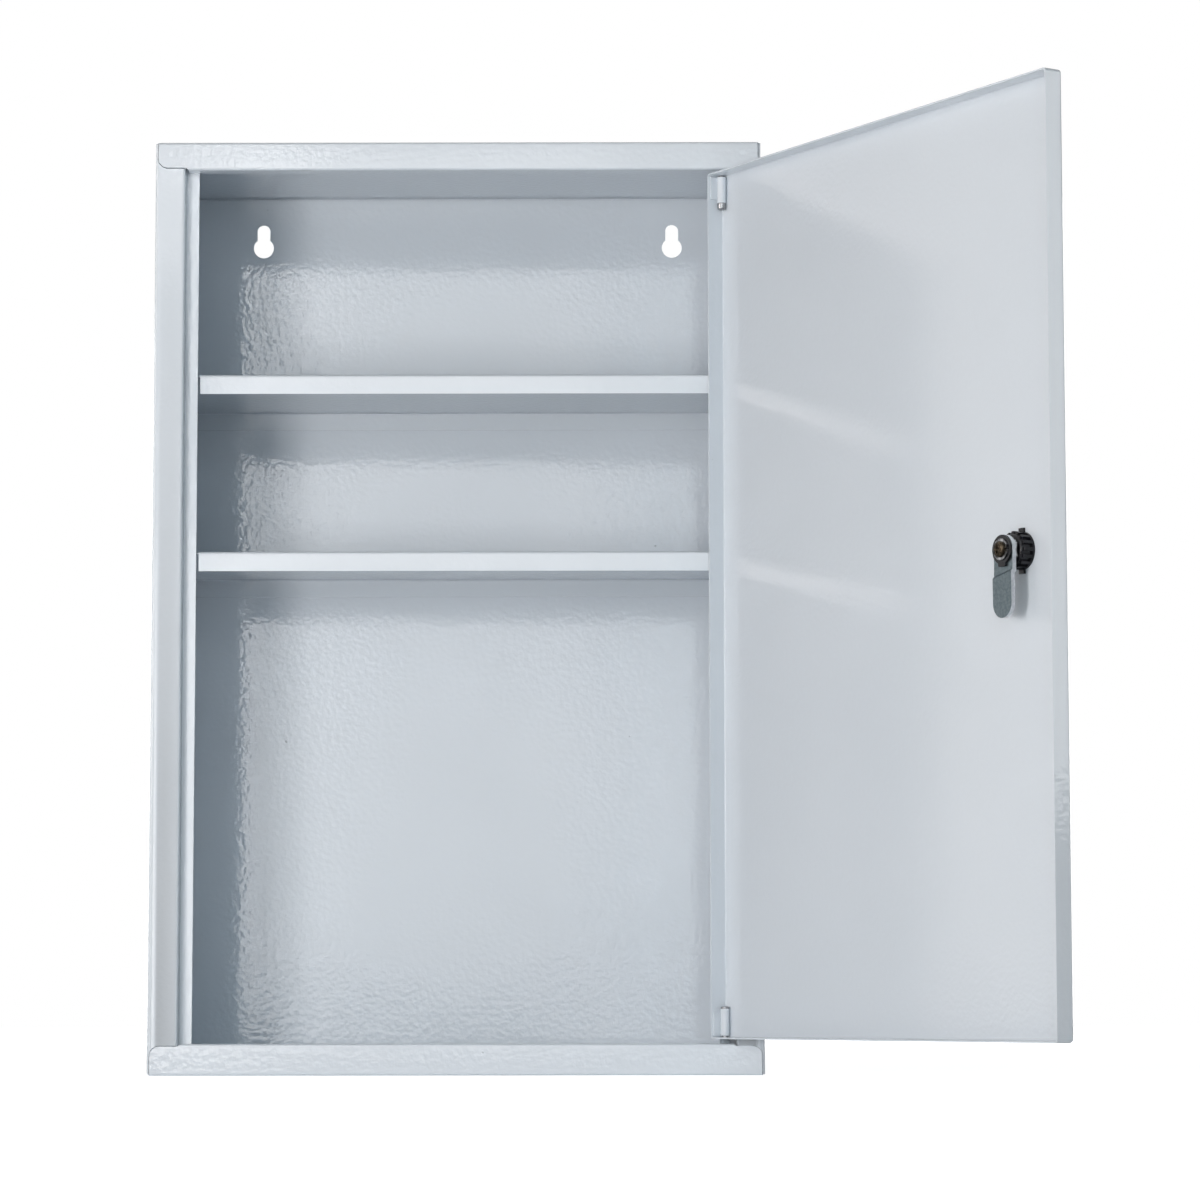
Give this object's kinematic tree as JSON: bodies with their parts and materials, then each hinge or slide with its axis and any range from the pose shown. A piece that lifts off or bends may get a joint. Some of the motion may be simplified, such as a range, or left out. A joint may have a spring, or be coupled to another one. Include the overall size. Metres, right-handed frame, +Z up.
{
  "type": "lockable medicine cabinet",
  "caption": "Wall cabinet for medicines, folded from white sheet steel, with fixed shelves, keyholes in the back and a hinged pan door with a cam lock, shown open.",
  "frame": {"origin": "midway between the centres of the two keyhole circles, on the rear face of the back panel, 0.8 mm in front of the wall", "axes": "+X to the hinge side of the opening, +Y into the wall, +Z up"},
  "size_m": [0.424, 0.3619, 0.46],
  "materials": {
    "powder_coat": "glossy white-grey powder coat with a light orange peel",
    "zinc_plate": "dull zinc plate",
    "nickel_plate": "polished nickel plate",
    "bright_steel": "plain bright steel",
    "black_plastic": "satin moulded",
    "grey_nylon": "matte",
    "yellow_zinc": "yellow passivated"
  },
  "bodies": {
    "cabinet": {"left_side_panel": "powder_coat", "right_side_panel": "powder_coat", "top_panel": "powder_coat", "bottom_panel": "powder_coat", "back_panel": "powder_coat", "upper_shelf": "powder_coat", "lower_shelf": "powder_coat"},
    "door": {"door_panel": "powder_coat", "upper_hinge_knuckle": "powder_coat", "lower_hinge_knuckle": "powder_coat", "upper_hinge_pin": "bright_steel", "lower_hinge_pin": "bright_steel", "hinge_spacer": "grey_nylon", "lock_housing": "nickel_plate", "lock_lug_washer": "black_plastic", "lock_ring_nut": "black_plastic"},
    "lock_cam": {"lock_plug": "nickel_plate", "lock_wafers": "yellow_zinc", "wafer_springs": "bright_steel", "cam_arm": "zinc_plate", "cam_stop_disc": "black_plastic", "cam_spring_washer": "bright_steel", "cam_screw": "yellow_zinc"}
  },
  "joints": [
    {"name": "door_hinge", "type": "hinge", "parent": "cabinet", "child": "door", "pos_m": [0.1307, -0.1341, -0.2], "axis": [0, 0, 1], "range_deg": [-122.3, 0]},
    {"name": "lock_turn", "type": "hinge", "parent": "door", "child": "lock_cam", "pos_m": [0.24985, -0.33549, -0.1994], "axis": [-0.8453, -0.5344, 0], "range_deg": [0, 90]}
  ]
}
